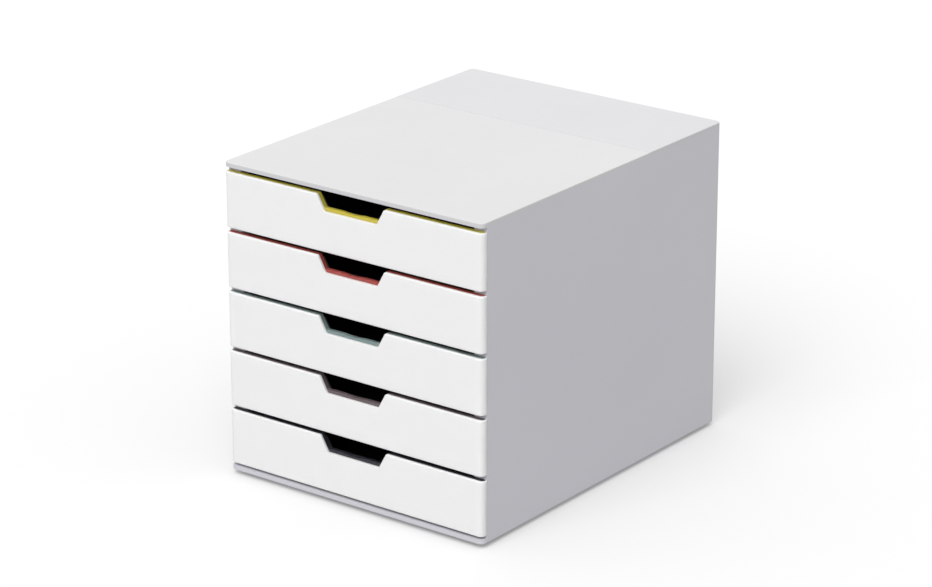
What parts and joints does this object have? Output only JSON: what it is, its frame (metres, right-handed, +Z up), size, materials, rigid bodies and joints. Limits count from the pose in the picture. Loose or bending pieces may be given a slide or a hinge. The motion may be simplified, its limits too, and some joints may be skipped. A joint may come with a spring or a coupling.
{
  "type": "plastic drawer tower",
  "caption": "Free-standing desktop drawer tower: a plastic housing, open at the front, with shallow sliding trays that have a white front, a finger notch and a coloured rim.",
  "frame": {"origin": "middle of the standing surface, under the centre of the housing", "axes": "+Z up, -Y out of the drawer fronts, +X to the right as seen from the front"},
  "size_m": [0.28, 0.356, 0.292],
  "materials": {
    "housing_grey": "fine satin grain, light cool grey",
    "front_white": "smooth, softly glossy white",
    "tray_anthracite": "fine matte grain, dark anthracite",
    "accent_yellow": "satin mustard yellow",
    "accent_red": "satin brick red",
    "accent_teal": "satin grey teal",
    "accent_taupe": "satin dark taupe",
    "accent_slate": "satin dark slate",
    "foot_rubber": "matte grey rubber"
  },
  "bodies": {
    "housing": {"housing_shell": "housing_grey", "back_panel": "housing_grey", "left_runner_frame": "housing_grey", "right_runner_frame": "housing_grey", "left_runner_1": "housing_grey", "left_runner_2": "housing_grey", "left_runner_3": "housing_grey", "left_runner_4": "housing_grey", "left_runner_5": "housing_grey", "right_runner_1": "housing_grey", "right_runner_2": "housing_grey", "right_runner_3": "housing_grey", "right_runner_4": "housing_grey", "right_runner_5": "housing_grey", "foot_front_left": "foot_rubber", "foot_front_right": "foot_rubber", "foot_rear_left": "foot_rubber", "foot_rear_right": "foot_rubber"},
    "drawer_1": {"drawer_1_front": "front_white", "drawer_1_accent": "accent_yellow", "drawer_1_tray": "tray_anthracite"},
    "drawer_2": {"drawer_2_front": "front_white", "drawer_2_accent": "accent_red", "drawer_2_tray": "tray_anthracite"},
    "drawer_3": {"drawer_3_front": "front_white", "drawer_3_accent": "accent_teal", "drawer_3_tray": "tray_anthracite"},
    "drawer_4": {"drawer_4_front": "front_white", "drawer_4_accent": "accent_taupe", "drawer_4_tray": "tray_anthracite"},
    "drawer_5": {"drawer_5_front": "front_white", "drawer_5_accent": "accent_slate", "drawer_5_tray": "tray_anthracite"}
  },
  "joints": [
    {"name": "drawer_1_slide", "type": "slide", "parent": "housing", "child": "drawer_1", "axis": [0, -1, 0], "range_m": [0, 0.25]},
    {"name": "drawer_2_slide", "type": "slide", "parent": "housing", "child": "drawer_2", "axis": [0, -1, 0], "range_m": [0, 0.25]},
    {"name": "drawer_3_slide", "type": "slide", "parent": "housing", "child": "drawer_3", "axis": [0, -1, 0], "range_m": [0, 0.25]},
    {"name": "drawer_4_slide", "type": "slide", "parent": "housing", "child": "drawer_4", "axis": [0, -1, 0], "range_m": [0, 0.25]},
    {"name": "drawer_5_slide", "type": "slide", "parent": "housing", "child": "drawer_5", "axis": [0, -1, 0], "range_m": [0, 0.25]}
  ]
}
